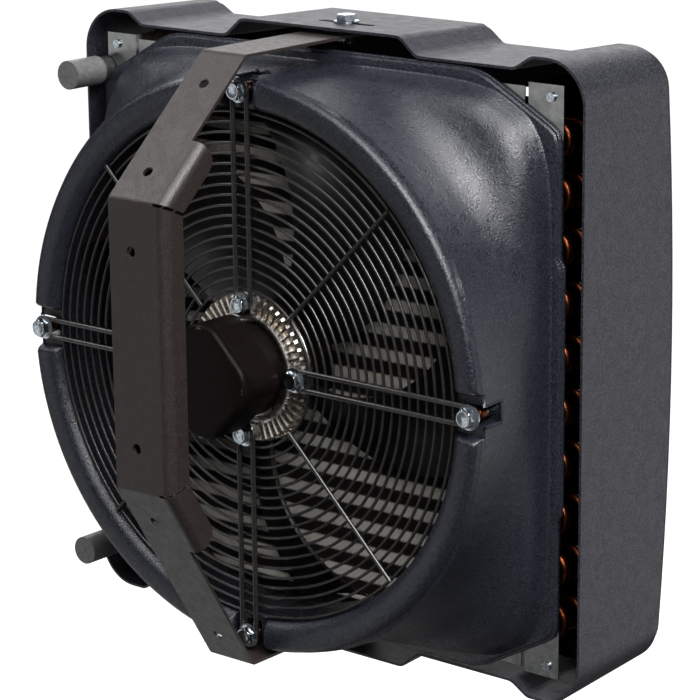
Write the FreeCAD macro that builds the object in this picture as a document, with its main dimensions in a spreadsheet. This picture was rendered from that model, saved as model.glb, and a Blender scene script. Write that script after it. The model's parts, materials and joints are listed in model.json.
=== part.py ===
import FreeCAD, Part
import math
import os
import re
from types import SimpleNamespace

# Fan-blown liquid-to-air heat exchanger that hangs in a wall console.
# Frame: millimetres, +Z up. The origin is the middle of the console's two wall
# holes, on the face that lies against the wall. The wall is at Y = 0 and the
# unit stands off it towards +Y: console, guard, fan, coil, louvres.
# Sub-parts are drawn in the unit's own axes (X across, Y = 0 at the casing's
# rear edge, Z = 0 at the fan's axis) and each Placement moves them to the frame.

os.makedirs("parts", exist_ok=True)
doc = FreeCAD.newDocument("heat_exchanger")
sheet = doc.addObject("Spreadsheet::Sheet", "sizes")

DIMENSIONS = [
    # console
    ("console_width", 52), ("console_thickness", 3), ("console_wall_y", -257),
    ("console_web_top", 183), ("console_web_bottom", -82),
    ("console_top_bend_y", -130), ("console_bottom_bend_y", -137),
    ("console_top_leg", 297.5), ("console_bottom_leg", -278.5), ("console_tip_y", 66),
    ("console_bend_radius", 8), ("console_hole", 10), ("wall_hole_spacing", 180),
    ("wall_hole_middle", 47.4), ("flange_reach", 14), ("flange_depth", 25),
    ("flange_bend", 10), ("relief_gap", 3), ("flange_run", 72), ("flange_corner", 14),
    ("upper_strut_near", 37), ("upper_strut_far", 138), ("lower_strut_near", 40),
    ("lower_strut_far", 195),
    # pivots
    ("pivot_y", 42), ("pivot_diameter", 10), ("pivot_clearance", 0.1),
    ("pivot_head", 20), ("slot_length", 56), ("pivot_nut_flats", 17), ("pivot_gap", 0.25),
    ("pivot_washer", 1.6), ("pivot_washer_diameter", 24), ("pivot_head_height", 6),
    ("pivot_nut_height", 8), ("pivot_bolt_end", 10),
    # casing
    ("casing_width", 604.5), ("hump_height", 299.9), ("plateau_height", 305),
    ("valley_height", 288.2), ("hump_inner", 243.4), ("valley_outer", 225.2),
    ("valley_inner", 115.7), ("plateau_half", 96.2), ("casing_corner", 42),
    ("casing_blend", 14), ("casing_depth", 131.3), ("casing_bow", 18.1),
    ("casing_taper", 4.8), ("casing_wall", 2.5),
    # front bezel and louvres
    ("bezel_proud", 8), ("bezel_back", 6), ("bezel_opening", 262), ("bezel_opening_height", 245),
    ("bezel_gap", 1.2), ("louvre_count", 9), ("louvre_pitch", 52), ("louvre_chord", 50),
    ("louvre_thickness", 3.2), ("louvre_half_length", 260), ("louvre_setback", 22),
    ("louvre_pin", 5), ("rail_x", 268), ("rail_thickness", 3), ("rail_depth", 19),
    ("rail_setback", 5.2), ("rail_half_height", 236),
    # coil
    ("tube_pitch", 25), ("row_pitch", 26), ("tube_count", 20), ("tube_diameter", 9.52),
    ("tube_wall", 0.6), ("first_row_y", 19), ("coil_half", 238), ("coil_plate", 1.5),
    ("coil_flange_y", 4.5), ("coil_frame_half", 276), ("fin_half_height", 250),
    ("top_flange_height", 272), ("bend_centre_x", 259.7), ("header_x", -279),
    ("header_diameter", 25), ("header_wall", 1.5), ("inlet_z", 239), ("outlet_z", -252),
    ("stub_end_y", -50), ("header_overrun", 14), ("header_end", 4), ("stub_hole_gap", 1.5),
    ("cap_length", 40), ("cap_wall", 1.7), ("cap_floor", 1.6), ("gate_diameter", 3.2),
    ("gate_height", 0.4), ("plate_inset", 4), ("cross_leg", 4), ("rim_width", 24),
    ("screw_x", 263), ("screw_z", 265), ("screw_hole", 4.2), ("screw_shank", 4),
    ("screw_length", 7.4), ("screw_head", 8.4), ("screw_head_height", 2.35),
    # shroud
    ("flange_half_x", 276), ("flange_half_z", 284.5), ("corner_cut_x", 89),
    ("corner_cut_z", 50), ("shroud_skin", 3), ("shroud_inset_x", 7), ("shroud_inset_z", 12),
    ("ring_radius", 256.5), ("ring_bead", 16), ("ring_y", -100), ("throat_back_y", -48),
    ("body_top_y", -88), ("body_top_radius", 270.5), ("notch_width", 40), ("notch_floor_y", -104),
    ("ring_back_y", -80), ("cheek", 2), ("leg_notch_width", 116), ("leg_notch_height", 10.5),
    ("flange_round", 16),
    # guard
    ("ring_count", 18), ("first_ring", 75.5), ("last_ring", 240), ("ring_wire", 3),
    ("guard_y", -107), ("arm_wire", 5), ("arm_spacing", 17), ("outer_bolt_circle", 261),
    ("inner_bolt_circle", 62), ("spoke_wire", 4), ("spoke_start", 74), ("spoke_end", 241.5),
    ("bolt_shank", 9.5), ("bolt_flats", 16), ("bolt_head", 7.5), ("bolt_flange", 24),
    ("bolt_flange_thickness", 1.8), ("insert_diameter", 12), ("insert_length", 8),
    # motor
    ("flange_radius", 70.5), ("fin_root", 52), ("fin_slots", 36), ("fin_slot_width", 6.2),
    ("fin_slot_depth", 9), ("motor_flange_front", -108.4), ("motor_flange_thickness", 13),
    ("box_half", 46), ("box_corner", 20), ("box_back_y", -127), ("box_front_y", -160),
    ("lid_front_y", -173), ("box_wall", 2.5), ("neck_radius", 44), ("box_inset", 1.5),
    ("lid_edge", 3), ("lid_screw_recess", 7.2), ("lid_screw_head", 7), ("recess_depth", 1.5),
    ("gland_y", -144), ("gland_hole", 16), ("gland_flats", 22), ("gland_nut", 6),
    ("gland_body", 19), ("gland_length", 14), ("gland_thread", 15.8), ("cable_hole", 8),
    ("shaft_diameter", 15), ("bearing_diameter", 35), ("bearing_width", 11),
    ("bearing_tube", 42), ("stator_diameter", 76), ("can_diameter", 100), ("can_bore", 79),
    ("hub_diameter", 108), ("hub_front_y", -90), ("hub_width", 44),
    ("bearing_sleeve", 3.5), ("motor_floor", 4), ("motor_boss", 18), ("core_front_y", -90),
    ("core_back_y", -58), ("winding_width", 4), ("first_bearing_y", -101),
    ("second_bearing_y", -66), ("shaft_start_y", -102.5), ("can_front_y", -94),
    ("can_back_y", -44), ("can_floor", 3),
    # impeller
    ("blade_count", 5), ("blade_root", 54.2), ("blade_tip", 230), ("blade_thickness", 2.6),
    ("blade_mid_y", -68), ("root_chord", 62), ("tip_chord", 140), ("root_pitch", 42),
    ("tip_pitch", 22), ("root_sweep", -6), ("tip_sweep", 24), ("blade_camber", 0.07),
    ("blade_sections", 5), ("first_blade", 48),
]
for row, (alias, value) in enumerate(DIMENSIONS, 1):
    sheet.set("A%d" % row, alias)
    sheet.set("B%d" % row, str(value))
    sheet.setAlias("B%d" % row, alias)
doc.recompute()
NAMES = {alias for alias, value in DIMENSIONS}
d = SimpleNamespace(**{alias: float(sheet.get(alias)) for alias in NAMES})

# Where the unit's own axes stand in the frame.
TO_FRAME = FreeCAD.Vector(0, -d.console_wall_y, -d.wall_hole_middle)
BACK = FreeCAD.Vector(0, -1, 0)
FRONT = FreeCAD.Vector(0, 1, 0)
UP = FreeCAD.Vector(0, 0, 1)
ACROSS = FreeCAD.Vector(1, 0, 0)
QUARTERS = (0, 90, 180, 270)
LONG = 800  # longer than anything it cuts
FIT = 0.05  # gap left between pieces that only rest on or turn in each other
BORE = 0.02  # how much wider a hole is than a piece fixed in it
subparts = []


# ---- helpers ---------------------------------------------------------------

def point(x, y, z):
    return FreeCAD.Vector(x, y, z)


def bind(item, **sizes):
    """Set properties: a number as it stands, a text as an expression in the sheet's aliases."""
    for prop, size in sizes.items():
        if isinstance(size, str):
            full = re.sub(r"[a-z]\w*", lambda m: "sizes." + m[0] if m[0] in NAMES else m[0], size)
            item.setExpression(prop, full)
        else:
            setattr(item, prop, size)
    return item


def keep(item, label):
    """Make item a sub-part: its label names its file, its placement is the frame's."""
    item.Label = label
    item.Placement.Base = item.Placement.Base + TO_FRAME
    subparts.append(item)
    return item


def shaped(label, shape):
    """A sub-part whose form no single feature makes."""
    item = doc.addObject("Part::Feature", label)
    item.Shape = shape
    return keep(item, label)


def box(x, y, z, length, width, height):
    """A box from its low corner; its sides are numbers or sheet expressions."""
    item = doc.addObject("Part::Box", "box")
    bind(item, Length=length, Width=width, Height=height)
    item.Placement.Base = point(x, y, z)
    return item


def cylinder(base, along, radius, height):
    item = doc.addObject("Part::Cylinder", "cylinder")
    bind(item, Radius=radius, Height=height)
    item.Placement = FreeCAD.Placement(base, FreeCAD.Rotation(UP, along))
    return item


def hexagon(base, along, flats, height):
    """A hexagonal prism: a nut or a bolt's head."""
    item = doc.addObject("Part::Prism", "hexagon")
    item.Polygon = 6
    bind(item, Circumradius="%s / sqrt(3)" % flats, Height=height)
    item.Placement = FreeCAD.Placement(base, FreeCAD.Rotation(UP, along))
    return item


def fuse(*items):
    item = doc.addObject("Part::MultiFuse", "fuse")
    item.Shapes = list(items)
    return item


def cut(base, *tools):
    item = doc.addObject("Part::Cut", "cut")
    item.Base = base
    item.Tool = tools[0] if len(tools) == 1 else fuse(*tools)
    return item


def common(first, second):
    item = doc.addObject("Part::Common", "common")
    item.Base = first
    item.Tool = second
    return item


def group(label, items):
    """Identical loose pieces that share one sub-part."""
    item = doc.addObject("Part::Compound", label)
    item.Links = items
    return keep(item, label)


def polar(radius, degrees, y):
    turn = math.radians(degrees)
    return point(radius * math.cos(turn), y, radius * math.sin(turn))


def rounded(corners, radii, to_vector):
    """A closed outline with each corner rounded by its own radius, as lines and arcs."""
    count = len(corners)
    entries, exits, middles = [], [], []
    for i in range(count):
        here = FreeCAD.Vector(*corners[i], 0)
        before = (FreeCAD.Vector(*corners[i - 1], 0) - here).normalize()
        after = (FreeCAD.Vector(*corners[(i + 1) % count], 0) - here).normalize()
        half = before.getAngle(after) / 2
        reach = radii[i] / math.tan(half)
        entries.append(here + before * reach)
        exits.append(here + after * reach)
        inward = (before + after).normalize()
        middles.append(here + inward * (radii[i] / math.sin(half) - radii[i]))
    edges = []
    for i in range(count):
        if radii[i]:
            arc = (entries[i], middles[i], exits[i])
            edges.append(Part.Arc(*[to_vector(p.x, p.y) for p in arc]))
        nxt = (i + 1) % count
        if exits[i].distanceToPoint(entries[nxt]) > 0.001:
            edges.append(Part.LineSegment(to_vector(exits[i].x, exits[i].y),
                                          to_vector(entries[nxt].x, entries[nxt].y)))
    return edges


def wire(edges):
    return Part.Wire([edge.toShape() for edge in edges])


def sketch(body, role, edges, away=0.0):
    """A sketch on one of the body's own planes, moved along the plane's normal."""
    item = body.newObject("Sketcher::SketchObject", "sketch")
    plane = [f for f in body.Origin.OriginFeatures if f.Role == role][0]
    item.AttachmentSupport = [(plane, "")]
    item.MapMode = "FlatFace"
    item.AttachmentOffset = FreeCAD.Placement(point(0, 0, away), FreeCAD.Rotation())
    item.addGeometry(edges)
    return item


def pad(body, outline, length, **options):
    item = body.newObject("PartDesign::Pad", "pad")
    item.Profile = outline
    for name, value in options.items():
        setattr(item, name, value)
    bind(item, Length=length)
    return item


def flat(x, y):
    return point(x, y, 0)


def flange_bolt(base, along, shank_length):
    """A hexagon bolt with a flange; base is the underside of its flange."""
    inward = along * -1
    return fuse(
        cylinder(base, along, "bolt_flange / 2", "bolt_flange_thickness"),
        hexagon(base + along * d.bolt_flange_thickness, along, "bolt_flats",
                "bolt_head - bolt_flange_thickness"),
        cylinder(base, inward, "bolt_shank / 2", shank_length))


# ---- casing ----------------------------------------------------------------

SHELL_LENGTH = "casing_depth + casing_bow"
TAPER = math.degrees(math.atan(d.casing_taper / d.casing_depth))
BOW_RADIUS = (d.hump_height ** 2 + d.casing_bow ** 2) / (2 * d.casing_bow)
BOW_CENTRE_Y = d.casing_depth + d.casing_bow - BOW_RADIUS


def bow_y(z):
    """How far forward the bowed front edge stands at height z."""
    return BOW_CENTRE_Y + math.sqrt(BOW_RADIUS ** 2 - z ** 2)


def casing_outline(inset, to_vector=flat):
    """The wrap's section: corner humps, shallow valleys and a raised middle, top and bottom."""
    half = d.casing_width / 2 - inset
    hump_turn = math.atan2(d.hump_height - d.valley_height, d.hump_inner - d.valley_outer)
    rise_turn = math.atan2(d.plateau_height - d.valley_height, d.valley_inner - d.plateau_half)
    hump_shift = inset * math.tan(hump_turn / 2)
    rise_shift = inset * math.tan(rise_turn / 2)
    quarter = [
        (half, d.hump_height - inset, d.casing_corner - inset),
        (d.hump_inner + hump_shift, d.hump_height - inset, d.casing_blend),
        (d.valley_outer + hump_shift, d.valley_height - inset, d.casing_blend),
        (d.valley_inner - rise_shift, d.valley_height - inset, d.casing_blend),
        (d.plateau_half - rise_shift, d.plateau_height - inset, d.casing_blend)]
    right_top = [(x, z, r) for x, z, r in quarter]
    left_top = [(-x, z, r) for x, z, r in reversed(quarter)]
    left_bottom = [(-x, -z, r) for x, z, r in quarter]
    right_bottom = [(x, -z, r) for x, z, r in reversed(quarter)]
    ring = right_top + left_top + left_bottom + right_bottom
    return rounded([(x, z) for x, z, r in ring], [r for x, z, r in ring], to_vector)


def bow_cylinder(grow):
    """A long roller across the unit whose surface is the bowed front, moved by grow."""
    return cylinder(point(-LONG / 2, BOW_CENTRE_Y, 0), ACROSS, BOW_RADIUS + grow, LONG)


def wrap(inset, length):
    body = doc.addObject("PartDesign::Body", "wrap")
    outline = sketch(body, "XZ_Plane", casing_outline(inset))
    body.Tip = pad(body, outline, length, Reversed=True, TaperAngle=-TAPER)
    return body


def pivot_slot(z):
    """The cross slot that a pivot bolt passes through."""
    side = d.pivot_diameter + d.pivot_clearance
    half = d.slot_length / 2
    deep = 4 * d.casing_wall
    middle = box(-half, d.pivot_y - side / 2, z - deep / 2, "slot_length", side, deep)
    ends = [cylinder(point(s * half, d.pivot_y, z - deep / 2), UP, side / 2, deep)
            for s in (-1, 1)]
    return fuse(middle, *ends)


def build_casing():
    skin = cut(wrap(0, SHELL_LENGTH), wrap(d.casing_wall, SHELL_LENGTH))
    bowed = common(skin, bow_cylinder(0))
    slots = [pivot_slot(side * d.plateau_height) for side in (-1, 1)]
    keep(cut(bowed, *slots), "casing_shell")


def build_bezel():
    inset = d.casing_wall + d.casing_taper + d.bezel_gap
    body = doc.addObject("PartDesign::Body", "bezel_block")
    outline = sketch(body, "XZ_Plane", casing_outline(inset))
    body.Tip = pad(body, outline, SHELL_LENGTH + " + 2 * bezel_proud", Reversed=True)
    lip = cut(common(body, bow_cylinder(d.bezel_proud)), bow_cylinder(-d.bezel_back))
    opening = box(-d.bezel_opening, 0, -d.bezel_opening_height,
                  "bezel_opening * 2", LONG, "bezel_opening_height * 2")
    keep(cut(lip, opening), "front_bezel")


# ---- louvres ---------------------------------------------------------------

def louvre_places():
    """Each louvre's pivot: height, and depth behind the bowed front edge."""
    top = (d.louvre_count - 1) / 2 * d.louvre_pitch
    heights = [top - i * d.louvre_pitch for i in range(int(d.louvre_count))]
    return [(z, bow_y(z) - d.louvre_setback) for z in heights]


def build_louvres():
    half_chord = d.louvre_chord / 2
    bulge = d.louvre_thickness / 2
    for number, (z, y) in enumerate(louvre_places(), 1):
        body = doc.addObject("PartDesign::Body", "louvre_body")
        lens = [Part.Arc(flat(-half_chord, 0), flat(0, bulge), flat(half_chord, 0)),
                Part.Arc(flat(half_chord, 0), flat(0, -bulge), flat(-half_chord, 0))]
        blade = pad(body, sketch(body, "YZ_Plane", lens), "louvre_half_length * 2", Midplane=True)
        pin = sketch(body, "YZ_Plane", [Part.Circle(flat(0, 0), UP, d.louvre_pin / 2)])
        body.Tip = pad(body, pin, "(rail_x + rail_thickness) * 2 + 2", Midplane=True)
        keep(body, "louvre_%d" % number)
        body.Placement.Base = TO_FRAME + point(0, y, z)


def build_rails():
    for side, label in ((-1, "louvre_rail_left"), (1, "louvre_rail_right")):
        inner = side * (d.rail_x + d.rail_thickness / 2) - d.rail_thickness / 2
        middle_y = bow_y(0) - d.louvre_setback - d.rail_setback
        plate = box(inner, middle_y - d.rail_depth / 2, -d.rail_half_height,
                    "rail_thickness", "rail_depth", "rail_half_height * 2")
        holes = [cylinder(point(inner - 1, y, z), ACROSS, d.louvre_pin / 2 + FIT,
                          "rail_thickness + 2") for z, y in louvre_places()]
        keep(cut(plate, *holes), label)


# ---- coil ------------------------------------------------------------------

def tube_heights():
    top = (d.tube_count - 1) / 2 * d.tube_pitch
    return [top - i * d.tube_pitch for i in range(int(d.tube_count))]


def row_depths():
    return [d.first_row_y, d.first_row_y + d.row_pitch]


def tube_holes(x, length):
    return [cylinder(point(x, y, z), ACROSS, d.tube_diameter / 2 + 2 * FIT, length)
            for z in tube_heights() for y in row_depths()]


def build_fin_pack():
    back = d.first_row_y - d.row_pitch / 2
    block = box(-d.coil_half, back, -d.fin_half_height,
                "coil_half * 2", "row_pitch * 2", "fin_half_height * 2")
    keep(cut(block, *tube_holes(-d.coil_half - 1, "coil_half * 2 + 2")), "fin_pack")


def bend_shape(centre, arm, swing, leg):
    """A return bend: two short legs along arm joined by a half circle in the plane of swing."""
    half = swing.Length
    side = FreeCAD.Vector(swing).normalize()
    out = FreeCAD.Vector(arm).normalize()
    start, end = centre - swing, centre + swing
    path = Part.Wire([
        Part.LineSegment(start - out * leg, start).toShape(),
        Part.Arc(start, centre + out * half, end).toShape(),
        Part.LineSegment(end, end - out * leg).toShape()])
    section = Part.Wire([Part.Circle(start - out * leg, out, d.tube_diameter / 2).toShape()])
    return path.makePipeShell([section], True, True)


def build_tubes():
    outside = d.coil_half + d.coil_plate
    tubes = []
    for z in tube_heights():
        for y in row_depths():
            base = point(-outside, y, z)
            rod = cylinder(base, ACROSS, "tube_diameter / 2", "(coil_half + coil_plate) * 2")
            hollow = cylinder(base, ACROSS, "tube_diameter / 2 - tube_wall",
                              "(coil_half + coil_plate) * 2")
            tubes.append(cut(rod, hollow))
    group("coil_tubes", tubes)


def build_bends():
    outside = d.coil_half + d.coil_plate + FIT
    leg = d.bend_centre_x - outside
    heights = tube_heights()
    for y, label in zip(row_depths(), ("return_bends_rear", "return_bends_front")):
        bends = []
        for upper, lower in zip(heights[0::2], heights[1::2]):
            centre = point(d.bend_centre_x, y, (upper + lower) / 2)
            bends.append(bend_shape(centre, ACROSS, UP * (d.tube_pitch / 2), leg))
        shaped(label, Part.Compound(bends))
    crossing = []
    for z in heights[1::2]:
        centre = point(-outside - d.cross_leg, d.first_row_y + d.row_pitch / 2, z)
        crossing.append(bend_shape(centre, ACROSS * -1, FRONT * (d.row_pitch / 2), d.cross_leg))
    shaped("cross_bends", Part.Compound(crossing))


def screw_places(side):
    return [(side * d.screw_x, d.screw_z), (side * d.screw_x, -d.screw_z)]


def build_end_plates():
    """Side plates of the coil's frame: a web, a wide rear flange and a narrow front one."""
    depth = 2 * d.row_pitch + 2 * d.coil_plate
    rear_width = d.coil_frame_half - d.coil_half
    for side, label in ((-1, "end_plate_left"), (1, "end_plate_right")):
        def plate(width, y, depth_here):
            low = min(side * d.coil_half, side * (d.coil_half + width))
            return box(low, y, -d.coil_frame_half, width, depth_here, "coil_frame_half * 2")

        web = plate(d.coil_plate, d.coil_flange_y, depth)
        rear = plate(rear_width, d.coil_flange_y, d.coil_plate)
        front = plate(d.rim_width, d.coil_flange_y + depth - d.coil_plate, d.coil_plate)
        start = min(side * d.coil_half, side * d.coil_frame_half) - 1
        holes = tube_holes(start, rear_width + 2)
        holes += [cylinder(point(x, 0, z), FRONT, "screw_hole / 2", "coil_flange_y * 2")
                  for x, z in screw_places(side)]
        if side < 0:
            holes += [cylinder(point(d.header_x, 0, z), FRONT,
                               "header_diameter / 2 + stub_hole_gap", "coil_flange_y * 2")
                      for z in (d.inlet_z, d.outlet_z)]
        keep(cut(fuse(web, rear, front), *holes), label)


def build_coil_plates():
    """Top and bottom plates of the coil's frame, each with an upstand at the rear."""
    length = "(coil_half - plate_inset) * 2"
    start = d.plate_inset - d.coil_half
    for side, label in ((1, "coil_plate_top"), (-1, "coil_plate_bottom")):
        near = side * d.fin_half_height
        plate = box(start, d.coil_flange_y, min(near, near + side * d.coil_plate),
                    length, "row_pitch * 2 + coil_plate * 2", "coil_plate")
        upstand = box(start, d.coil_flange_y, min(near, side * d.top_flange_height),
                      length, "coil_plate", "top_flange_height - fin_half_height")
        keep(fuse(plate, upstand), label)


def build_header(label, y, low, high, stub_z):
    """An upright header with branches to its row and a stub towards the wall."""
    outer, wall = d.header_diameter / 2, d.header_wall
    inner = outer - wall
    tube_inner = d.tube_diameter / 2 - d.tube_wall
    stub = d.cap_floor + d.stub_end_y
    branch = -d.coil_half - d.coil_plate - FIT - d.header_x
    heights = tube_heights()[0::2]
    solids = [cylinder(point(d.header_x, y, low), UP, outer, high - low),
              cylinder(point(d.header_x, y, stub_z), BACK, outer, y - stub)]
    solids += [cylinder(point(d.header_x, y, z), ACROSS, "tube_diameter / 2", branch)
               for z in heights]
    bores = [cylinder(point(d.header_x, y, low + wall), UP, inner, high - low - 2 * wall),
             cylinder(point(d.header_x, y, stub_z), BACK, inner, y - stub + 1)]
    bores += [cylinder(point(d.header_x, y, z), ACROSS, tube_inner, branch + 1) for z in heights]
    keep(cut(fuse(*solids), *bores), label)


def build_headers():
    """The inlet header feeds the rear row from its top, the outlet drains the front row."""
    heights = tube_heights()
    first_y, second_y = row_depths()
    highest = heights[0] + d.header_overrun
    lowest = heights[-2] - d.header_overrun
    build_header("inlet_header", first_y, lowest, d.inlet_z + d.header_end, d.inlet_z)
    build_header("outlet_header", second_y, d.outlet_z - d.header_end, highest, d.outlet_z)


def build_caps():
    """Push-on plastic caps over the threaded ends of the two stubs."""
    for label, z in (("inlet_cap", d.inlet_z), ("outlet_cap", d.outlet_z)):
        base = point(d.header_x, d.stub_end_y - FIT, z)
        cup = cylinder(base, FRONT, "header_diameter / 2 + cap_wall", "cap_length")
        hollow = cylinder(base + FRONT * d.cap_floor, FRONT, d.header_diameter / 2 + FIT,
                          "cap_length")
        gate = cylinder(base + BACK * d.gate_height, FRONT, "gate_diameter / 2", "cap_floor")
        keep(cut(fuse(cup, gate), hollow), label)


def build_corner_screws():
    """Pan-head screws that hold the coil's end plates in the casing."""
    screws = []
    for x, z in screw_places(-1) + screw_places(1):
        seat = point(x, d.coil_flange_y - FIT, z)
        screws.append(fuse(cylinder(seat, BACK, "screw_head / 2", "screw_head_height"),
                           cylinder(seat, FRONT, "screw_shank / 2", "screw_length")))
    group("corner_screws", screws)


# ---- fan shroud ------------------------------------------------------------

def octagon(shrink_x, shrink_z, y):
    """The flange's outline at depth y: a rectangle with cut corners, slightly rounded."""
    half_x = d.flange_half_x - shrink_x
    half_z = d.flange_half_z - shrink_z
    cut_x = d.corner_cut_x - shrink_x / 2
    cut_z = d.corner_cut_z - shrink_z / 2
    corners = [(half_x, half_z - cut_z), (half_x - cut_x, half_z)]
    corners += [(-x, z) for x, z in reversed(corners)]
    corners += [(-x, -z) for x, z in corners]
    return rounded(corners, [d.flange_round] * 8, lambda a, b: point(a, y, b))


def body_loft(shrink, base_y, top_y, top_radius):
    """The shroud's body: straight lines from the flange's outline to the ring."""
    edges = octagon(d.shroud_inset_x + shrink, d.shroud_inset_z + shrink, base_y)
    arcs = []
    for edge in edges:
        ends = [math.atan2(p.z, p.x) for p in (edge.StartPoint, edge.EndPoint)]
        span = (ends[1] - ends[0] + math.pi) % (2 * math.pi) - math.pi
        turns = (ends[0], ends[0] + span / 2, ends[0] + span)
        arcs.append(Part.Arc(*[polar(top_radius, math.degrees(t), top_y) for t in turns]))
    return Part.makeLoft([wire(edges), wire(arcs)], True, True)


def bead_profile(radius, close_at):
    """Half a bead's section, on its wall side closed at depth close_at."""
    out, mid = d.ring_radius + radius, d.ring_radius - radius
    y = d.ring_y
    arc = Part.Arc(point(out, y, 0), point(d.ring_radius, y - radius, 0), point(mid, y, 0))
    return [arc, Part.LineSegment(point(mid, y, 0), point(mid, close_at, 0)),
            Part.LineSegment(point(mid, close_at, 0), point(out, close_at, 0)),
            Part.LineSegment(point(out, close_at, 0), point(out, y, 0))]


def revolved(edges):
    return Part.Face(wire(edges)).revolve(point(0, 0, 0), FRONT, 360)


def turned(shape, degrees):
    copy = shape.copy()
    copy.rotate(point(0, 0, 0), BACK, degrees)
    return copy


def shroud_shell(flange_front):
    """Flange, body and ring without the notches, pressed from one sheet."""
    skin = d.shroud_skin
    flange = Part.Face(wire(octagon(0, 0, flange_front))).extrude(FRONT * skin)
    body = body_loft(0, flange_front, d.body_top_y, d.body_top_radius)
    cavity = body_loft(skin, flange_front + skin + 1, d.body_top_y - 1, d.body_top_radius - skin)
    bead_hollow = revolved(bead_profile(d.ring_bead - skin, d.ring_back_y + 1))
    throat_radius = d.ring_radius - d.ring_bead
    throat = Part.makeCylinder(throat_radius + skin, d.throat_back_y - d.ring_y,
                               point(0, d.ring_y, 0), FRONT)
    opening = Part.makeCylinder(throat_radius, LONG, point(0, -LONG / 2, 0), FRONT)
    bead = revolved(bead_profile(d.ring_bead, d.ring_back_y))
    return flange.fuse(body).cut(cavity).fuse([bead.cut(bead_hollow), throat.cut(opening)])


def build_shroud():
    skin = d.shroud_skin
    flange_front = d.coil_flange_y - FIT - skin
    shell = shroud_shell(flange_front)
    top = d.ring_y - d.ring_bead - 5
    half = d.notch_width / 2
    reach = d.ring_bead + 6
    low = d.ring_radius - reach
    notch = Part.makeBox(2 * reach, d.notch_floor_y - top, d.notch_width, point(low, top, -half))
    inner, outer = d.ring_radius - d.ring_bead + 1, d.ring_radius + d.ring_bead - 1
    floor = Part.makeBox(outer - inner, skin, d.notch_width, point(inner, d.notch_floor_y, -half))
    floor = floor.cut(Part.makeCylinder(
        d.bolt_shank / 2 + d.pivot_gap, skin, point(d.outer_bolt_circle, d.notch_floor_y, 0), FRONT))
    bead = revolved(bead_profile(d.ring_bead, d.ring_back_y))
    cheeks = [bead.common(Part.makeBox(2 * reach, d.ring_back_y - top, d.cheek, point(low, top, z)))
              for z in (-half - d.cheek, half)]
    for degrees in QUARTERS:
        shell = shell.cut(turned(notch, degrees))
    for degrees in QUARTERS:
        shell = shell.fuse([turned(part, degrees) for part in [floor] + cheeks])
    for z in (d.inlet_z, d.outlet_z):
        shell = shell.cut(Part.makeCylinder(d.header_diameter / 2 + d.stub_hole_gap, 5 * skin,
                                            point(d.header_x, -3 * skin, z), FRONT))
    leg_notch = Part.makeBox(d.leg_notch_width, 3 * skin, 2 * d.leg_notch_height, point(
        -d.leg_notch_width / 2, -skin, -d.flange_half_z - d.leg_notch_height))
    shaped("fan_shroud", shell.cut(leg_notch).removeSplitter())


def build_inserts():
    """Threaded inserts behind the notch floors, one for each outer guard bolt."""
    inserts = []
    for degrees in QUARTERS:
        at = polar(d.outer_bolt_circle, degrees, d.notch_floor_y + d.shroud_skin + FIT)
        inserts.append(cut(cylinder(at, FRONT, "insert_diameter / 2", "insert_length"),
                           cylinder(at, FRONT, d.bolt_shank / 2 + BORE, "insert_length")))
    group("shroud_inserts", inserts)


# ---- guard -----------------------------------------------------------------

ARM_Y = d.guard_y - d.ring_wire / 2 - d.arm_wire / 2 - FIT
BOLT_Y = ARM_Y - d.arm_wire / 2 - FIT


def build_guard():
    """Rings of wire, with short spokes of thicker wire behind them."""
    rings = []
    for i in range(int(d.ring_count)):
        ring = doc.addObject("Part::Torus", "ring")
        bind(ring, Radius1="first_ring + %d * (last_ring - first_ring) / (ring_count - 1)" % i,
             Radius2="ring_wire / 2")
        ring.Placement = FreeCAD.Placement(point(0, d.guard_y, 0), FreeCAD.Rotation(UP, FRONT))
        rings.append(ring)
    group("guard_rings", rings)
    spoke_y = d.guard_y - d.ring_wire / 2 - d.spoke_wire / 2 - FIT
    spokes = [cylinder(polar(d.spoke_start, q + 45, spoke_y), polar(1, q + 45, 0),
                       "spoke_wire / 2", "spoke_end - spoke_start") for q in QUARTERS]
    group("guard_spokes", spokes)


def arm_shape():
    """A closed hairpin of wire round the inner and the outer bolt, along +X."""
    side = d.arm_spacing / 2
    near, far, y = d.inner_bolt_circle, d.outer_bolt_circle, ARM_Y
    middle = (near + far) / 2
    path = Part.Wire([e.toShape() for e in (
        Part.LineSegment(point(middle, y, side), point(far, y, side)),
        Part.Arc(point(far, y, side), point(far + side, y, 0), point(far, y, -side)),
        Part.LineSegment(point(far, y, -side), point(near, y, -side)),
        Part.Arc(point(near, y, -side), point(near - side, y, 0), point(near, y, side)),
        Part.LineSegment(point(near, y, side), point(middle, y, side)))])
    section = Part.Wire([Part.Circle(point(middle, y, side), ACROSS, d.arm_wire / 2).toShape()])
    return path.makePipeShell([section], True, False)


def build_arms():
    names = ("guard_arm_right", "guard_arm_top", "guard_arm_left", "guard_arm_bottom")
    for label, degrees in zip(names, QUARTERS):
        shaped(label, turned(arm_shape(), degrees))


def build_guard_bolts():
    outer_length = d.notch_floor_y + d.shroud_skin + d.insert_length - BOLT_Y
    inner_length = d.motor_flange_front + d.motor_flange_thickness - 1 - BOLT_Y
    for label, circle, length in (("guard_bolts", d.outer_bolt_circle, outer_length),
                                  ("motor_bolts", d.inner_bolt_circle, inner_length)):
        group(label, [flange_bolt(polar(circle, q, BOLT_Y), BACK, length) for q in QUARTERS])


# ---- motor -----------------------------------------------------------------

SLEEVE_RADIUS = d.bearing_diameter / 2 + d.bearing_sleeve


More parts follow.
